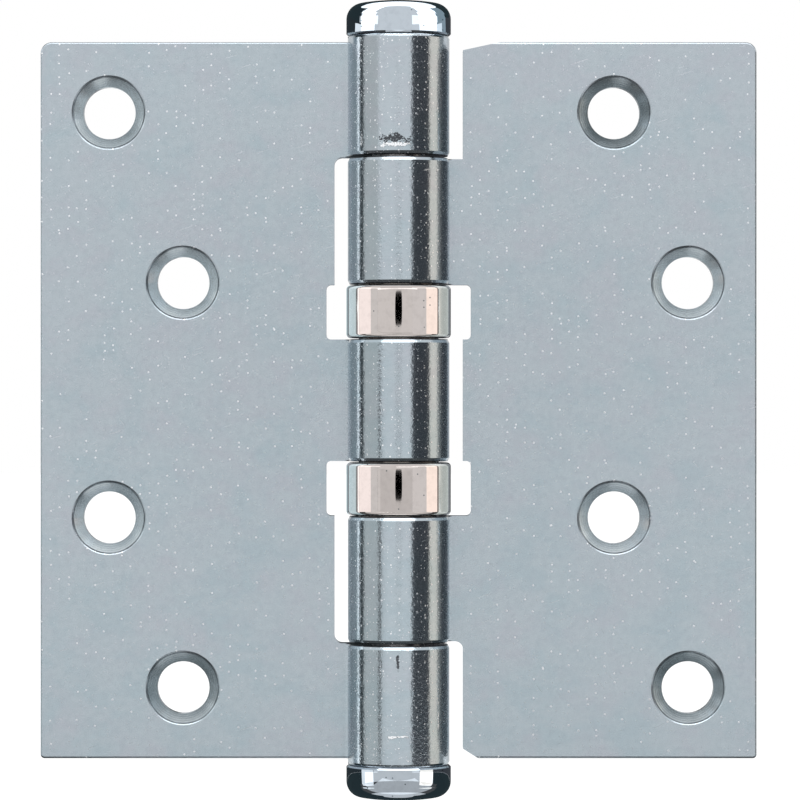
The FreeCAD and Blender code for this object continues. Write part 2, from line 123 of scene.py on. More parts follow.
class Tree:
    """A material's or world's nodes, and the one way to add another."""

    def __init__(self, owner: Union[bpy.types.Material, bpy.types.World]) -> None:
        """Empty the owner's tree and start on it."""
        owner.use_nodes = True
        self.nodes = owner.node_tree.nodes
        self.links = owner.node_tree.links
        self.nodes.clear()

    def node(self, kind: str, settings: dict[str, Any], values: dict[Any, Any]) -> bpy.types.Node:
        """Add a node.

        Args:
            kind: The node's type.
            settings: What is set on the node itself.
            values: Values or links of its sockets, by name or number.

        Returns:
            The node.
        """
        node = self.nodes.new(kind)
        for name, setting in settings.items():
            setattr(node, name, setting)
        for name, value in values.items():
            socket = node.inputs[name]
            if isinstance(value, Sock):
                self.links.new(value.socket, socket)
            elif socket.type == "RGBA":
                socket.default_value = (*value, 1.0)
            else:
                socket.default_value = value
        return node

    def add(self, kind: str, settings: dict[str, Any], values: dict[Any, Any],
            output: Union[int, str] = 0) -> Sock:
        """Add a node that others read.

        Args:
            kind: The node's type.
            settings: What is set on the node itself.
            values: Values or links of its sockets, by name or number.
            output: The output that is wanted, by name or number.

        Returns:
            That output, wrapped.
        """
        return Sock(self, self.node(kind, settings, values).outputs[output])

    def mix(self, factor: Value, first: Any, second: Any) -> Sock:
        """Mix two colours.

        Args:
            factor: 0 for the first, 1 for the second.
            first: A colour or a link.
            second: A colour or a link.

        Returns:
            The mixed colour.
        """
        return self.add("ShaderNodeMix", {"data_type": "RGBA"}, {0: factor, 6: first, 7: second}, output=2)

    def place(self) -> Sock:
        """The point on the surface in the hinge's own frame, in millimetres."""
        point = self.add("ShaderNodeTexCoord", {}, {}, output="Object")
        return self.scaled(point, (1 / MM, 1 / MM, 1 / MM))

    def scaled(self, vector: Sock, factors: Sequence[float], turn: Sequence[float] = (0, 0, 0)) -> Sock:
        """Turn a vector and then stretch it.

        Args:
            vector: The vector.
            factors: The stretch along X, Y and Z.
            turn: The angles of the turn, in degrees.

        Returns:
            The new vector.
        """
        angles = [math.radians(angle) for angle in turn]
        settings = {"rotation_type": "EULER_XYZ"}
        turned = self.add("ShaderNodeVectorRotate", settings, {"Vector": vector, "Rotation": angles})
        return self.add("ShaderNodeVectorMath", {"operation": "MULTIPLY"}, {0: turned, 1: factors})

    def distance(self, vector: Sock, point: Sequence[float]) -> Sock:
        """How far a vector is from a point."""
        settings = {"operation": "DISTANCE"}
        return self.add("ShaderNodeVectorMath", settings, {0: vector, 1: point}, output="Value")

    def noise(self, vector: Sock, scale: float, detail: float, roughness: float) -> Sock:
        """Smooth noise from 0 to 1, of a scale per millimetre."""
        values = {"Vector": vector, "Scale": scale, "Detail": detail, "Roughness": roughness}
        return self.add("ShaderNodeTexNoise", {"noise_dimensions": "3D"}, values)

    def cells(self, vector: Sock, scale: float, output: str = "Distance") -> Sock:
        """The distance in X and Y to the nearest of many scattered points, or that point's random colour."""
        settings = {"feature": "F1", "voronoi_dimensions": "2D"}
        return self.add("ShaderNodeTexVoronoi", settings, {"Vector": vector, "Scale": scale}, output=output)

    def bump(self, height: Sock, depth: float) -> Sock:
        """The surface's normal under a height map from 0 to 1, whose full depth is in millimetres."""
        return self.add("ShaderNodeBump", {}, {"Height": height, "Distance": depth * MM, "Strength": 1.0})

    def metal(self, colour: Sock, roughness: Value, normal: Sock) -> None:
        """Show a metal.

        Args:
            colour: Its colour.
            roughness: Its roughness.
            normal: Its surface's normal.
        """
        self.show(self.add("ShaderNodeBsdfPrincipled", {}, {
            "Base Color": colour,
            "Metallic": 1.0,
            "Roughness": roughness,
            "Normal": normal,
        }))

    def show(self, shader: Sock, kind: str = "ShaderNodeOutputMaterial") -> None:
        """Join a shader to an output node of a kind."""
        self.node(kind, {}, {"Surface": shader})


class Hole(NamedTuple):
    """A screw hole: its axis across and up, and how much painted shade darkens its countersink, from 0 to 1.
    """

    across: float
    height: float
    shade_level: float


class Joint(NamedTuple):
    """The two joints at a height over and under the middle, and how far the painted shade at each reaches up
    and down.
    """

    height: float
    reach: float


class Patch(NamedTuple):
    """A patch on the barrel's front, of wear or, where narrow and bright at the sides, a painted highlight:
    its centre across and up, and half its width and height.
    """

    across: float
    height: float
    half_width: float
    half_height: float


class Spots(NamedTuple):
    """Round spots: cells per millimetre, a spot's radius in cells, and the part of the cells that has one."""

    scale: float
    radius: float
    share: float

    def mask(self, tree: Tree, flat: Sock, more: Value = 0.0) -> Sock:
        """Scatter the spots.

        Args:
            tree: The material's nodes.
            flat: The place on the surface laid flat, in X and Y, in millimetres.
            more: What is added to the share.

        Returns:
            1 on a spot, else 0.
        """
        chance = more + self.share - tree.cells(flat, self.scale, "Color").part("X")
        return tree.cells(flat, self.scale).above(self.radius, self.radius * 0.5) * chance.above(0.0, 0.02)


class Hairs(NamedTuple):
    """Hair scratches of one direction: its turn in degrees, waves per millimetre, and the noise they need."""

    turn: float
    along: float
    across: float
    level: float
    deep: float = 4.0


@dataclass(frozen=True)
class ZincPlate:
    """Satin, blue-bright zinc plate on rolled sheet, glossier and coarser where it is curled.

    Lengths are in millimetres, but heights and depths of marks count in the bump's depth.
    """

    name: str = "zinc_plate"
    teal: Colour = (0.433, 0.514, 0.562)
    pink: Colour = (0.474, 0.515, 0.566)
    pale: Colour = (0.476, 0.540, 0.584)
    mottle: Colour = (0.33, 0.39, 0.43)
    # The joints' painted shade, the dark scuffs and the countersinks' brink rings share this colour.
    shade_and_grime: Colour = (0.03, 0.03, 0.035)
    # Pale specks and marks, and the painted highlights at the barrel's sides, share this colour.
    speck_and_glint: Colour = (0.95, 0.97, 1.0)
    # The countersinks' lighter colour: turned steel, with painted light that lifts the shade in the hollow.
    sink_steel_and_sheen: Colour = (0.67, 0.73, 0.76)
    # Painted shade that darkens some countersinks.
    sink_shade: Colour = (0.22, 0.26, 0.28)
    plate_roughness: float = 0.27
    barrel_roughness: float = 0.15
    mark_roughness: float = 0.15
    plate_grain: float = 0.25
    barrel_grain: float = 1.35
    bump_depth: float = 0.012
    barrel_radius: float = 6.4
    barrel_blend: float = 0.6
    plate_front: float = PLATE_FRONT
    plate_back: float = 4.5
    face_margin: float = 0.02
    face_blend: float = 0.10
    sink_radius: float = 4.5
    sink_blend: float = 0.25
    ring_waves: float = 26.0
    far: float = 100.0
    ring_height: float = 0.1
    rim_depth: float = 8.0
    speck_height: float = 0.5
    dust_height: float = 0.4
    nick_height: float = 3.0
    hair_depth: float = 0.3
    scuff_depth: float = 2.0
    specks: Spots = Spots(0.9, 0.12, 0.20)
    dust: Spots = Spots(2.1, 0.16, 0.12)
    barrel_share: float = 0.12
    outer_holes: float = 36.0
    inner_holes: float = 26.8
    high_holes: float = 35.75
    low_holes: float = 14.6
    # The joints between knuckles and collars, painted dark as shade.
    joints: tuple[Joint, ...] = (
        Joint(7.55, 0.10), Joint(14.35, 0.10), Joint(30.075, 0.22), Joint(45.15, 0.10))
    scuffs: tuple[Patch, ...] = (Patch(-0.5, 32.15, 2.6, 0.75), Patch(-0.1, -32.3, 0.27, 1.7))
    # The two wide bright patches are nick marks of wear; the two narrow ones at the barrel's sides are
    # painted highlights, glints of lamps on the curled knuckles.
    nicks_and_glints: tuple[Patch, ...] = (
        Patch(-0.4, 31.35, 1.9, 0.45), Patch(-0.2, -41.28, 1.9, 0.27),
        Patch(-4.6, 31.9, 0.2, 0.9), Patch(4.9, -39.2, 0.16, 1.9))
    scratches: tuple[Hairs, ...] = (
        Hairs(18, 0.25, 7.0, 0.75), Hairs(-52, 0.4, 8.0, 0.76), Hairs(76, 0.7, 9.0, 0.77))

    def material(self) -> bpy.types.Material:
        """Build the finish as a material."""
        result = bpy.data.materials.new(self.name)
        tree = Tree(result)
        place = tree.place()
        across, deep = place.part("X"), place.part("Y")
        from_axis = (across * across + deep * deep).root()
        barrel = from_axis.above(self.barrel_radius + self.barrel_blend, self.barrel_radius)
        behind_front = deep.above(self.plate_front + self.face_margin, self.plate_front + self.face_blend)
        on_back = deep.above(self.plate_back - self.face_blend, self.plate_back - self.face_margin)
        open_face = 1.0 - behind_front * (1.0 - on_back) * (1.0 - barrel)

        # The countersinks are open to the front, so a hole counts as far away on the back.
        gap, shade_level = self.nearest_hole(tree, place)
        gap = gap + on_back * self.sink_radius * 2
        turned = gap.above(self.sink_radius, self.sink_radius - self.sink_blend)
        rings = (gap * self.ring_waves).maths("SINE")
        rim = gap.above(self.sink_radius + 0.16, self.sink_radius - 0.06)

        flat = self.unrolled(tree, place, barrel)
        specks = self.specks.mask(tree, flat, barrel * self.barrel_share) * open_face
        dust = self.dust.mask(tree, flat, barrel * self.barrel_share) * open_face
        hairs = self.scratched(tree, place) * open_face
        scuffed = self.ragged_patches(tree, place, self.scuffs) * barrel
        nick_and_glint_mask = self.ragged_patches(tree, place, self.nicks_and_glints) * barrel
        marks = (specks + dust * (0.4 + barrel * 0.4) + hairs * 0.35).above(0.0, 1.0)
        # Painted shade in the joints between the parts, and dark scuffs of wear.
        joint_shade_and_scuffs = (self.near_joint(place) * barrel + scuffed * 0.8).above(0.0, 1.0)

        colour = self.sink_colour(tree, place, self.sheet_colour(tree, place), gap, turned, shade_level)
        # Pale specks, dust and scratches, the bright nick marks, and the painted highlights at the barrel's
        # sides.
        colour = tree.mix(marks + nick_and_glint_mask, colour, self.speck_and_glint)
        colour = tree.mix(joint_shade_and_scuffs, colour, self.shade_and_grime)
        gloss = (self.barrel_roughness - self.plate_roughness) * barrel
        grain = tree.noise(place, scale=2.6, detail=2.0, roughness=0.65)
        height = grain * (self.plate_grain + barrel * self.barrel_grain)
        height = height + specks * self.speck_height + dust * self.dust_height - hairs * self.hair_depth
        height = height - rim * self.rim_depth + rings * turned * self.ring_height
        height = height + nick_and_glint_mask * self.nick_height - scuffed * self.scuff_depth
        rough = self.plate_roughness + gloss + marks * self.mark_roughness
        tree.metal(colour, rough, tree.bump(height, self.bump_depth))
        return result

    def sheet_colour(self, tree: Tree, place: Sock) -> Sock:
        """The plate's bluish, unevenly clouded colour.

        Args:
            tree: The material's nodes.
            place: The point in millimetres.

        Returns:
            The colour.
        """
        # The Z term makes the tint pinker and a little lighter towards the top: a plating tone, and partly
        # painted light from above.
        tint = tree.noise(place, scale=0.13, detail=4.0, roughness=0.6) + place.part("Z") * 0.0010
        cloud = tree.noise(tree.scaled(place, (1.0, 1.0, 1.6)), scale=0.3, detail=3.0, roughness=0.6)
        mottle = tree.noise(place, scale=1.3, detail=3.0, roughness=0.6)
        colour = tree.mix(tint.above(0.38, 0.62), self.teal, self.pink)
        colour = tree.mix(cloud.above(0.36, 0.62) * 0.75, colour, self.pale)
        return tree.mix(mottle.above(0.35, 0.75) * 0.22, colour, self.mottle)

    def sink_colour(self, tree: Tree, place: Sock, sheet: Sock, gap: Sock, turned: Sock, shade_level: Sock) -> Sock:
        """Colour the countersinks, lighter as turned steel and with painted light in the hollow, some
        darkened by painted shade, and the dark ring at the brink of each.

        Args:
            tree: The material's nodes.
            place: The point in millimetres.
            sheet: The colour outside them.
            gap: The distance from the nearest hole's axis.
            turned: 1 in a countersink, else 0.
            shade_level: How much painted shade darkens the nearest countersink.

        Returns:
            The colour.
        """
        smear = tree.noise(place, scale=0.5, detail=2.0, roughness=0.5).above(0.3, 0.7)
        inner = gap.above(self.sink_radius - 0.19, self.sink_radius - 0.11)
        outer = gap.above(self.sink_radius + 0.01, self.sink_radius - 0.05)
        # The countersinks are painted lighter: turned steel, and painted light that lifts the shade in the
        # hollow.
        colour = tree.mix(turned * (0.75 + smear * 0.25), sheet, self.sink_steel_and_sheen)
        # Painted shade: some countersinks are darkened as a whole, hole by hole.
        colour = tree.mix(turned * shade_level * (0.75 + smear * 0.4), colour, self.sink_shade)
        return tree.mix(inner * outer * (0.3 + smear * 0.5), colour, self.shade_and_grime)

    def holes(self) -> tuple[Hole, ...]:
        """List the screw holes, whose countersinks get unequal painted shade.

        Returns:
            The holes of the left leaf and then of the right one, each from the top down.
        """
        outer, inner = self.outer_holes, self.inner_holes
        high, low = self.high_holes, self.low_holes
        return (
            Hole(-outer, high, 0.05), Hole(-inner, low, 0.0),
            Hole(-outer, -low, 0.0), Hole(-inner, -high, 0.42),
            Hole(inner, high, 0.6), Hole(outer, low, 0.05),
            Hole(inner, -low, 0.1), Hole(outer, -high, 0.5))

    def nearest_hole(self, tree: Tree, place: Sock) -> tuple[Sock, Sock]:
        """Find the nearest screw hole.

        Args:
            tree: The material's nodes.
            place: The point in millimetres.

        Returns:
            The distance from its axis, and how much painted shade its countersink gets.
        """
        flat = tree.scaled(place, (1.0, 0.0, 1.0))
        nearest: Value = self.far
        shade_level: Value = 0.0
        for hole in self.holes():
            gap = tree.distance(flat, (hole.across, 0.0, hole.height))
            nearest = gap.maths("MINIMUM", nearest)
            shade_level = gap.above(self.sink_radius * 2, self.sink_radius) * hole.shade_level + shade_level
        return nearest, shade_level

    def unrolled(self, tree: Tree, place: Sock, barrel: Sock) -> Sock:
        """Lay the surface flat, the barrel as if it were unrolled.

        Args:
            tree: The material's nodes.
            place: The point in millimetres.
            barrel: 1 on the barrel, else 0.

        Returns:
            The place on the flat surface, across in X and down in Y, in millimetres.
        """
        across, deep = place.part("X"), place.part("Y")
        arc = across.maths("ARCTAN2", deep * -1.0) * self.barrel_radius
        values = {"X": across + (arc - across) * barrel, "Y": place.part("Z") * -1.0}
        return tree.add("ShaderNodeCombineXYZ", {}, values)

    @staticmethod
    def ragged_patches(tree: Tree, place: Sock, patches: Iterable[Patch]) -> Sock:
        """Ragged patches on the knuckles' fronts: marks that handling has left, and painted highlights at the
        barrel's sides.

        Args:
            tree: The material's nodes.
            place: The point in millimetres.
            patches: The patches.

        Returns:
            1 on a patch, else 0.
        """
        # Noise bends a patch's outline and breaks it into grains, which thin out towards its edge.
        uneven = tree.noise(place, scale=1.2, detail=2.0, roughness=0.6) * 1.8 - 0.9
        rough = tree.noise(tree.scaled(place, (4.5, 4.5, 6.0)), scale=1.0, detail=2.0, roughness=0.6)
        cover: Value = 0.0
        for patch in patches:
            stretched = tree.scaled(place, (1 / patch.half_width, 0.0, 1 / patch.half_height))
            centre = (patch.across / patch.half_width, 0.0, patch.height / patch.half_height)
            cover = (tree.distance(stretched, centre) + uneven).above(1.1, 0.2) + cover
        broken = (cover.above(0.0, 1.0) * 0.35 + rough).above(0.66, 0.76)
        front = place.part("Y").above(-2.0, -3.0)
        return broken * front * cover.above(0.0, 0.1)

    def near_joint(self, place: Sock) -> Sock:
        """Where the joints between the knuckles are, which are painted dark as shade.

        Args:
            place: The point in millimetres.

        Returns:
            1 at a joint, else 0.
        """
        height = place.part("Z").absolute()
        total: Value = 0.0
        for joint in self.joints:
            total = (height - joint.height).absolute().above(joint.reach + 0.08, joint.reach - 0.04) + total
        return total.above(0.0, 1.0)

    def scratched(self, tree: Tree, place: Sock) -> Sock:
        """A few hair scratches and short nicks, in three directions.

        Args:
            tree: The material's nodes.
            place: The point in millimetres.

        Returns:
            1 on a scratch, else 0.
        """
        total: Value = 0.0
        for hairs in self.scratches:
            stretched = tree.scaled(place, (hairs.along, hairs.deep, hairs.across), (0, hairs.turn, 0))
            streak = tree.noise(stretched, scale=1.0, detail=1.0, roughness=0.4)
            total = streak.above(hairs.level, hairs.level + 0.03) + total
        return total.above(0.0, 1.0)


@dataclass(frozen=True)
class BrightPlate:
    """Bright plating with the faint ripple, haze and pits of a pressed part.

    Lengths are in millimetres. The swell is the surface's gentle rounding beyond swell_start, and the rim a
    dark line of painted shade beyond its own start, where the part meets its neighbours; both are measured up
    and down from swell_centre over and under the middle.
    """

    name: str
    colour: Colour
    # Pits and the rim's painted shade share this colour.
    pit_and_rim_shade: Colour = (0.05, 0.08, 0.09)
    roughness: float = 0.012
    haze_roughness: float = 0.012
    haze_shade: float = 0.84
    ripple_depth: float = 0.012
    swell_centre: float = 0.0
    swell_start: float = 45.15
    swell_height: float = 2.4
    swell_depth: float = 0.0
    shaded_rim_start: float = 100.0
    shaded_rim_blend: float = 0.08
    pits: Spots = Spots(1.3, 0.16, 0.10)

    def material(self) -> bpy.types.Material:
        """Build the finish as a material."""
        result = bpy.data.materials.new(self.name)
        tree = Tree(result)
        place = tree.place()
        height = (place.part("Z").absolute() - self.swell_centre).absolute()
        rise = (height - self.swell_start) * (1 / self.swell_height)
        rise = rise.maths("MAXIMUM", 0.0).maths("MINIMUM", 1.0)
        swell = rise * rise * (self.swell_depth / self.ripple_depth)
        # The rim is painted shade: a dark line at the part's ends, where it meets its neighbours.
        rim = height.above(self.shaded_rim_start, self.shaded_rim_start + self.shaded_rim_blend)

        ripple = tree.noise(tree.scaled(place, (1.0, 1.0, 0.06)), scale=0.45, detail=2.0, roughness=0.5)
        haze = tree.noise(place, scale=1.1, detail=4.0, roughness=0.6)
        wipes = tree.noise(tree.scaled(place, (6.0, 6.0, 0.8), (0, 25, 0)), scale=1.0, detail=3.0,
                           roughness=0.6)
        pits = self.pits.mask(tree, tree.scaled(place, (1.0, 1.0, 1.0), (90, 0, 0)))
        hazy = tuple(self.haze_shade * level for level in self.colour)
        colour = tree.mix(haze.above(0.42, 0.7) * 0.5 + wipes.above(0.55, 0.8) * 0.3, self.colour, hazy)
        # Pits, and the rim's painted shade, in one dark colour.
        colour = tree.mix((pits * 0.7 + rim).above(0.0, 1.0), colour, self.pit_and_rim_shade)
        rough = self.roughness + haze * self.haze_roughness
        tree.metal(colour, rough, tree.bump(ripple - swell, self.ripple_depth))
        return result


@dataclass(frozen=True)
class TurnedSteel:
    """Plain steel with the fine rings that turning or grinding leaves, in millimetres."""

    name: str
    colour: Colour
    roughness: float
    ring_pitch: float
    ring_roughness: float = 0.12
    ring_depth: float = 0.004
    film_shade: float = 0.8

    def material(self) -> bpy.types.Material:
        """Build the finish as a material."""
        result = bpy.data.materials.new(self.name)
        tree = Tree(result)
        place = tree.place()
        stretch = (0.05, 0.05, 1 / self.ring_pitch)
        rings = tree.noise(tree.scaled(place, stretch), scale=1.0, detail=3.0, roughness=0.6)
        film = tree.noise(place, scale=0.8, detail=3.0, roughness=0.6)
        filmed = tuple(self.film_shade * level for level in self.colour)
        colour = tree.mix(film.above(0.4, 0.7) * 0.3, self.colour, filmed)
        tree.metal(colour, self.roughness + rings * self.ring_roughness, tree.bump(rings, self.ring_depth))
        return result


class Finish(Enum):
    """The finishes of the hinge's pieces."""

    ZINC = ZincPlate()
    # The collar's dark rims at both ends are painted shade where it meets the knuckles.
    COLLAR = BrightPlate("warm_nickel", (0.575, 0.528, 0.507), swell_centre=10.95, swell_start=2.5,
                         swell_height=0.9, swell_depth=0.05, shaded_rim_start=3.22)
    CAP = BrightPlate("blue_chrome", (0.520, 0.580, 0.640), swell_depth=0.2)
    PIN = TurnedSteel("pin_steel", (0.46, 0.46, 0.47), roughness=0.22, ring_pitch=0.35)
    BEARING = TurnedSteel("greased_bearing_steel", (0.16, 0.15, 0.14), roughness=0.12, ring_pitch=0.2)


@dataclass
class Wardrobe:
    """Makes each finish once and puts it on pieces."""

    made: dict[Finish, bpy.types.Material] = field(default_factory=dict)

    def dress(self, names: Iterable[str], finish: Finish) -> list[bpy.types.Object]:
        """Give pieces of the frame a finish.

        Args:
            names: The pieces' names.
            finish: The finish that they get.

        Returns:
            The pieces.
        """
        if finish not in self.made:
            self.made[finish] = finish.value.material()
        pieces = [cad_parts[name] for name in names]
        for piece in pieces:
            piece.data.materials.clear()
            piece.data.materials.append(self.made[finish])
            log.info("%s: %s", piece.name, finish.value.name)
        return pieces


@dataclass
class Leaves:
    """The two plates with their curled knuckles. Lights are linked to both."""

    names: tuple[str, ...] = ("left_leaf", "right_leaf")
    lit: list[bpy.types.Object] = field(default_factory=list)

    def build(self, wardrobe: Wardrobe) -> None:
        """Dress both leaves."""
        self.lit = wardrobe.dress(self.names, Finish.ZINC)


@dataclass
class PinAndCaps:
    """The pin with a domed cap at each end. Lights are linked to the caps."""

    pin: str = "hinge_pin"
    caps: tuple[str, ...] = ("top_cap", "bottom_cap")
    lit: list[bpy.types.Object] = field(default_factory=list)

    def build(self, wardrobe: Wardrobe) -> None:
        """Dress the pin and the caps."""
        wardrobe.dress([self.pin], Finish.PIN)
        self.lit = wardrobe.dress(self.caps, Finish.CAP)


@dataclass
class Bearing:
    """One bearing: its collar, two races and ring of balls. Lights are linked to the collar."""

    name: str
    lit: list[bpy.types.Object] = field(default_factory=list)

    def build(self, wardrobe: Wardrobe) -> None:
        """Dress the collar, the races and the balls.

        Args:
            wardrobe: Where the finishes come from.
        """
        inside = [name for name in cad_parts
                  if name.startswith(self.name) and ("race" in name or "ball_" in name)]
        wardrobe.dress(sorted(inside), Finish.BEARING)
        self.lit = wardrobe.dress([f"{self.name}_bearing_collar"], Finish.COLLAR)


class Seen(Enum):
    """Which pieces a light falls on. The body is the leaves and the collars."""

    BODY = "body"
    LEAVES = "leaves"
    COLLARS = "collars"
    CAPS = "caps"


def glow(name: str, level: float, colour: Colour) -> bpy.types.Material:
    """Make a material that shines.

    Args:
        name: Its name.
        level: How brightly, in the radiance at which 1 is white.
        colour: Its tint.

    Returns:
        The material.
    """
    result = bpy.data.materials.new(name)
    tree = Tree(result)
    tree.show(tree.add("ShaderNodeEmission", {}, {"Color": colour, "Strength": level}))
    return result


def area_lamp(name: str, size: tuple[float, float], level: float, colour: Colour) -> bpy.types.Object:
    """Make a rectangular lamp that the camera doesn't see.

    Args:
        name: Its name.
        size: Its width and height.
        level: How brightly it shines, in the radiance at which 1 is white.
        colour: Its tint.

    Returns:
        The lamp.
    """
    lamp = bpy.data.lights.new(name, "AREA")
    lamp.shape = "RECTANGLE"
    lamp.size, lamp.size_y = size
    lamp.energy = level * size[0] * size[1] * math.pi
    lamp.color = colour
    box = bpy.data.objects.new(name, lamp)
    bpy.context.scene.collection.objects.link(box)
    box.visible_camera = False
    log.info("lamp %s", name)
    return box


@dataclass(frozen=True)
class Card:
    """A card that stands on part of a circle round the hinge and only shows in reflections.

    Its angles are in degrees to the right of the camera. With a top_radius of its own it leans or lies flat.
    """

    name: str
    start: float
    end: float
    low: float = -0.107
    high: float = 0.17
    radius: float = 0.60
    level: float = 0.05
    colour: Colour = WHITE
    top_radius: float = 0.0
    round_ends: bool = False
    bluntness: int = 10
    steps: int = 64

    def build(self, studio: "Studio") -> None:
        """Make the card.

        Args:
            studio: The studio round it, which a card has no need of.
        """
        mesh = bpy.data.meshes.new(self.name)
        faces = [(2 * n, 2 * n + 1, 2 * n + 3, 2 * n + 2) for n in range(self.steps)]
        mesh.from_pydata(self.corners(), [], faces)
        card = bpy.data.objects.new(self.name, mesh)
        bpy.context.scene.collection.objects.link(card)
        card.data.materials.append(glow(self.name, self.level, self.colour))
        card.visible_camera = False
        card.visible_shadow = False
        card.visible_diffuse = False
        log.info("card %s", self.name)

    def corners(self) -> list[tuple[float, float, float]]:
        """The card's corners, a low and a high one at each step along it."""
        corners = []
        centre = (self.low + self.high) / 2
        edges = ((self.radius, self.low), (self.top_radius or self.radius, self.high))
        for step in range(self.steps + 1):
            angle = math.radians(self.start + (self.end - self.start) * step / self.steps)
            part = abs(2 * step / self.steps - 1) if self.round_ends else 0.0
            share = math.sqrt(1 - part ** self.bluntness)
            for radius, height in edges:
                corners.append((radius * math.sin(angle), -radius * math.cos(angle),
                                centre + (height - centre) * share))
        return corners


@dataclass(frozen=True)
class Softbox:
    """A lamp that faces the hinge from afar and lights one kind of piece.

    Its angles are in degrees to the right of the camera, and its tilt is how far it is lifted over the hinge.
    """

    name: str
    seen: Seen
    start: float
    end: float
    level: float
    colour: Colour = WHITE
    height: float = 0.5
    distance: float = 0.45
    rise: float = 0.0
    tilt: float = 0.0

    def build(self, studio: "Studio") -> None:
        """Make the lamp.

        Args:
            studio: The studio, which knows the pieces of each kind.
        """
        middle = math.radians((self.start + self.end) / 2)
        width = 2 * self.distance * math.tan(math.radians((self.end - self.start) / 2))
        box = area_lamp(self.name, (width, self.height), self.level, self.colour)
        tilt = math.radians(self.tilt)
        reach, climb = self.distance * math.cos(tilt), self.distance * math.sin(tilt)
        box.location = (reach * math.sin(middle), -reach * math.cos(middle), self.rise + climb)
        box.rotation_euler = (math.radians(90) - tilt, 0.0, middle)
        box.light_linking.receiver_collection = studio.receivers[self.seen]


@dataclass(frozen=True)
class Panel:
    """A flat lamp close to the hinge, over the floor or overhead, that lights one kind of piece.

    At a turn of -90 degrees it faces the camera, at 0 down and at 180 up.
    """

    name: str
    seen: Seen
    centre: tuple[float, float, float]
    size: tuple[float, float]
    level: float
    colour: Colour = WHITE
    turn: float = -90.0

    def build(self, studio: "Studio") -> None:
        """Make the lamp.

        Args:
            studio: The studio, which knows the pieces of each kind.
        """
        box = area_lamp(self.name, self.size, self.level, self.colour)
        box.location = self.centre
        box.rotation_euler = (math.radians(self.turn), 0.0, 0.0)
        box.light_linking.receiver_collection = studio.receivers[self.seen]


Light = Union[Card, Softbox, Panel]


@dataclass
class Studio:
    """White surroundings, a pale floor, and the cards and lamps that the metal mirrors."""

    floor_depth: float = 0.060
    floor_reach: float = 6.0
    floor_colour: Colour = (0.86, 0.86, 0.86)
    floor_glow: float = 0.25
    receivers: dict[Seen, bpy.types.Collection] = field(default_factory=dict)

    def group(self, seen: Seen, pieces: Iterable[bpy.types.Object]) -> None:
        """Name the pieces that a kind of light falls on.

        Args:
            seen: The kind.
            pieces: The pieces.
        """
        collection = bpy.data.collections.new(f"lit_{seen.value}")
        for piece in pieces:
            collection.objects.link(piece)
        self.receivers[seen] = collection

    def build(self, lights: Iterable[Light]) -> None:
        """Make the world, the floor and the lights.

        Args:
            lights: The lights.
        """
        world = bpy.data.worlds.new("white_room")
        bpy.context.scene.world = world
        tree = Tree(world)
        room = tree.add("ShaderNodeBackground", {}, {"Color": WHITE, "Strength": 1.0})
        tree.show(room, "ShaderNodeOutputWorld")
        self.build_floor()
        for light in lights:
            light.build(self)

    def build_floor(self) -> None:
        """Lay the pale floor, which shows white but keeps the hinge's shadow."""
        reach = self.floor_reach
        corners = [(-reach, -reach, 0), (reach, -reach, 0), (reach, reach, 0), (-reach, reach, 0)]
        mesh = bpy.data.meshes.new("floor")
        mesh.from_pydata(corners, [], [(0, 1, 2, 3)])
        floor = bpy.data.objects.new("floor", mesh)
        bpy.context.scene.collection.objects.link(floor)
        floor.location.z = CAD_BOX[0][2] - self.floor_depth
        material = bpy.data.materials.new("floor_white")
        tree = Tree(material)
        diffuse = tree.add("ShaderNodeBsdfDiffuse", {}, {"Color": self.floor_colour})
        camera = tree.add("ShaderNodeLightPath", {}, {}, output="Is Camera Ray")
        light = tree.add("ShaderNodeEmission", {}, {"Color": WHITE, "Strength": camera * self.floor_glow})
        tree.show(tree.add("ShaderNodeAddShader", {}, {0: diffuse, 1: light}))
        mesh.materials.append(material)


# Tints of the dark cards and of the lamps.
BLUE_BLACK: Colour = (0.7, 0.9, 1.0)
GREY_BLACK: Colour = (0.85, 0.9, 1.0)
TEAL_BLACK: Colour = (0.6, 0.9, 1.0)
CREAM: Colour = (1.0, 1.0, 0.97)
AMBER: Colour = (1.12, 1.0, 0.86)
ROSE: Colour = (1.05, 0.98, 0.97)
TEAL: Colour = (0.72, 1.0, 1.10)

# Heights over the hinge's middle, and the plane just in front of the leaves.
FLOOR_CARD_LOW = -0.108
FLOOR_CARD_HIGH = -0.107
FLAG_FOOT_EDGE = -0.1071
TALL_FLAG_TOP = 0.90
FLOOR_GLOW_HEIGHT = -0.1065
LEAF_PLANE = 0.0013

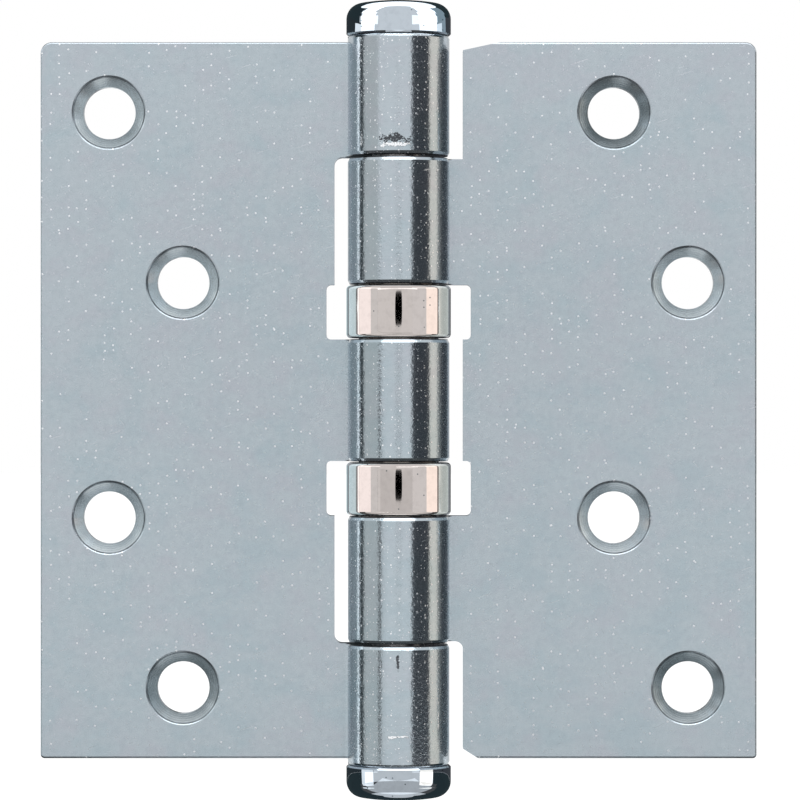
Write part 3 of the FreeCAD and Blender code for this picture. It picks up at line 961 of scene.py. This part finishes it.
# The dark cards give the metal its dark edges, the seam and the mirrored lens.
FLAGS: tuple[Light, ...] = (
    Card("left_flag", -180, -47, colour=BLUE_BLACK),
    Card("right_flag", 30, 180, level=0.08, colour=GREY_BLACK),
    Card("left_flag_foot", -180, -47, high=FLAG_FOOT_EDGE, colour=BLUE_BLACK, top_radius=0.455),
    Card("right_flag_foot", 30, 180, high=FLAG_FOOT_EDGE, level=0.08, colour=GREY_BLACK, top_radius=0.455),
    Card("left_tall_flag", -180, -97, low=0.17, high=TALL_FLAG_TOP, colour=TEAL_BLACK),
    Card("right_tall_flag", 97, 180, low=0.17, high=TALL_FLAG_TOP, colour=TEAL_BLACK),
    Card("back_floor_flag", 97, 263, FLOOR_CARD_LOW, FLOOR_CARD_HIGH, 0.02, colour=TEAL_BLACK,
         top_radius=0.45),
    Card("left_side_floor_flag", -97, -80, FLOOR_CARD_LOW, FLOOR_CARD_HIGH, 0.21, colour=TEAL_BLACK,
         top_radius=0.45),
    Card("right_side_floor_flag", 82, 97, FLOOR_CARD_LOW, FLOOR_CARD_HIGH, 0.21, colour=TEAL_BLACK,
         top_radius=0.45),
    Card("low_flag", -97, 97, FLOOR_CARD_LOW, FLOOR_CARD_HIGH, 0.045, level=0.10, top_radius=0.21),
    Card("left_seam", -46, -40.5, high=0.014, radius=0.56, level=0.0, steps=2),
    Card("upper_lens", -7.6, 7.6, low=0.0190, high=0.0277, level=0.0, round_ends=True),
    Card("lower_lens", -7.6, 7.6, low=-0.0258, high=-0.0179, level=0.0, round_ends=True),
)

# The stripes on the barrel and the even tone of the leaves' fronts.
LEAF_LIGHTS: tuple[Light, ...] = (
    Softbox("leaf_high_front", Seen.LEAVES, -30, 30, level=2.4, height=0.17, tilt=52),
    Softbox("leaf_low_front", Seen.LEAVES, -30, 30, level=0.11, height=0.09, tilt=-8),
    Softbox("leaf_left", Seen.LEAVES, -86, -47, level=0.68, colour=CREAM),
    Softbox("leaf_left_line", Seen.LEAVES, -107, -99, level=2.0),
    Softbox("leaf_left_rear", Seen.LEAVES, -124, -106, level=0.34, colour=(0.85, 1.0, 1.1)),
    Panel("leaf_left_mirror_line", Seen.LEAVES, (-0.0253, LEAF_PLANE, 0.0), (0.0057, 0.089), level=1.8),
    Softbox("leaf_right", Seen.LEAVES, 74, 104, level=0.95, colour=AMBER),
    Softbox("leaf_right_rear", Seen.LEAVES, 104, 124, level=0.28, colour=(0.95, 1.0, 1.0)),
)

# What lights the hinge's back.
REAR_LIGHTS: tuple[Light, ...] = (
    Softbox("back_left", Seen.BODY, -143, -124, level=0.85),
    Softbox("back_right", Seen.LEAVES, 124, 143, level=0.85),
    Softbox("collar_right_rear", Seen.COLLARS, 124, 132, level=0.85),
    Softbox("leaf_back_left", Seen.LEAVES, -176, -143, level=0.75),
    Softbox("leaf_back_right", Seen.LEAVES, 143, 176, level=0.65),
    Panel("back_floor_glow", Seen.BODY, (0.0, 0.30, FLOOR_GLOW_HEIGHT), (0.90, 0.40), level=0.85,
          turn=180.0),
)

# The collars' rose front, bright shoulders and blue-green sides.
COLLAR_LIGHTS: tuple[Light, ...] = (
    Softbox("collar_left_front", Seen.COLLARS, -64, -47, level=0.95),
    Softbox("collar_left_seam", Seen.COLLARS, -46, -40.5, level=1.0, height=0.120, distance=0.55,
            rise=-0.047),
    Softbox("collar_left", Seen.COLLARS, -97, -64, level=1.50, colour=ROSE),
    Panel("collar_left_glow", Seen.COLLARS, (-0.0139, LEAF_PLANE, 0.0), (0.0106, 0.05), level=0.72,
          colour=TEAL),
    Panel("collar_left_line", Seen.COLLARS, (-0.0365, LEAF_PLANE, 0.0), (0.0160, 0.05), level=1.50,
          colour=ROSE),
    Softbox("collar_left_rear", Seen.COLLARS, -178, -143, level=0.50, colour=TEAL),
    Softbox("collar_high_front", Seen.COLLARS, -66, 66, level=1.4, height=0.079, tilt=11),
    Softbox("collar_right_front", Seen.COLLARS, 30, 64, level=0.95),
    Softbox("collar_right", Seen.COLLARS, 64, 95, level=1.50, colour=(1.10, 0.98, 0.90)),
    Panel("collar_right_glow", Seen.COLLARS, (0.0222, LEAF_PLANE, 0.0), (0.0270, 0.05), level=0.72,
          colour=(0.86, 1.0, 0.98)),
    Panel("collar_floor_glow", Seen.COLLARS, (0.0, -0.115, FLOOR_GLOW_HEIGHT), (0.42, 0.20), level=0.70,
          turn=180.0),
)

# The caps' bright arches, over grey fronts and dark edges.
CAP_LIGHTS: tuple[Light, ...] = (
    Softbox("cap_left", Seen.CAPS, -92, -55, level=2.2, height=1.1, rise=0.53),
    Softbox("cap_left_edge", Seen.CAPS, -112, -92, level=1.3, height=0.15, rise=0.055),
    Softbox("cap_left_front", Seen.CAPS, -57, -47, level=0.95),
    Softbox("cap_left_seam", Seen.CAPS, -46, -40.5, level=1.0, height=0.120, distance=0.55, rise=-0.047),
    Softbox("cap_right_front", Seen.CAPS, 30, 47, level=0.95),
    Softbox("cap_right", Seen.CAPS, 47, 94, level=2.2, height=1.1, rise=0.53),
    Softbox("cap_right_edge", Seen.CAPS, 94, 112, level=0.9, height=0.15, rise=0.055),
    Softbox("cap_right_rear", Seen.CAPS, 94, 128, level=0.40, colour=(0.8, 1.0, 1.1), height=1.1,
            rise=0.53),
    Softbox("cap_left_low", Seen.CAPS, -88, -57, level=1.22, height=0.055, distance=0.12, rise=-0.079),
    Softbox("cap_right_low", Seen.CAPS, 47, 80, level=1.50, colour=(1.12, 1.0, 0.88), height=0.055,
            distance=0.12, rise=-0.079),
    Panel("cap_overhead", Seen.CAPS, (0.0, 0.155, 0.55), (1.0, 0.55), level=2.0, turn=0.0),
    Panel("cap_floor_glow", Seen.CAPS, (0.0, -0.115, FLOOR_GLOW_HEIGHT), (0.30, 0.19), level=0.55,
          turn=180.0),
)


@dataclass(frozen=True)
class Camera:
    """The straight-on view of the photograph."""

    distance: float = 0.550
    width: float = 99.4 * MM
    plate_front: float = PLATE_FRONT * MM
    aside: float = 0.17 * MM
    lift: float = 0.03 * MM
    sensor: float = 36.0
    nearest: float = 0.01

    def build(self) -> None:
        """Make the camera and look through it."""
        data = bpy.data.cameras.new("camera")
        data.sensor_width = self.sensor
        data.lens = self.sensor * (self.distance + self.plate_front) / self.width
        data.clip_start = self.nearest
        camera = bpy.data.objects.new("camera", data)
        camera.location = (self.aside, -self.distance, self.lift)
        camera.rotation_euler = (math.radians(90), 0, 0)
        bpy.context.scene.collection.objects.link(camera)
        bpy.context.scene.camera = camera


def main() -> None:
    """Build the hinge's looks, the studio and the camera."""
    logging.basicConfig(level=logging.INFO, format="%(name)s: %(message)s")
    wardrobe = Wardrobe()
    leaves = Leaves()
    caps = PinAndCaps()
    bearings = [Bearing("upper"), Bearing("lower")]
    for assembly in (leaves, caps, *bearings):
        assembly.build(wardrobe)
    studio = Studio()
    studio.group(Seen.LEAVES, leaves.lit)
    studio.group(Seen.CAPS, caps.lit)
    collars = [piece for bearing in bearings for piece in bearing.lit]
    studio.group(Seen.COLLARS, collars)
    studio.group(Seen.BODY, leaves.lit + collars)
    Camera().build()
    studio.build((*FLAGS, *LEAF_LIGHTS, *REAR_LIGHTS, *COLLAR_LIGHTS, *CAP_LIGHTS))
    bpy.context.scene.view_settings.view_transform = "Standard"


if __name__ == "__main__":
    main()
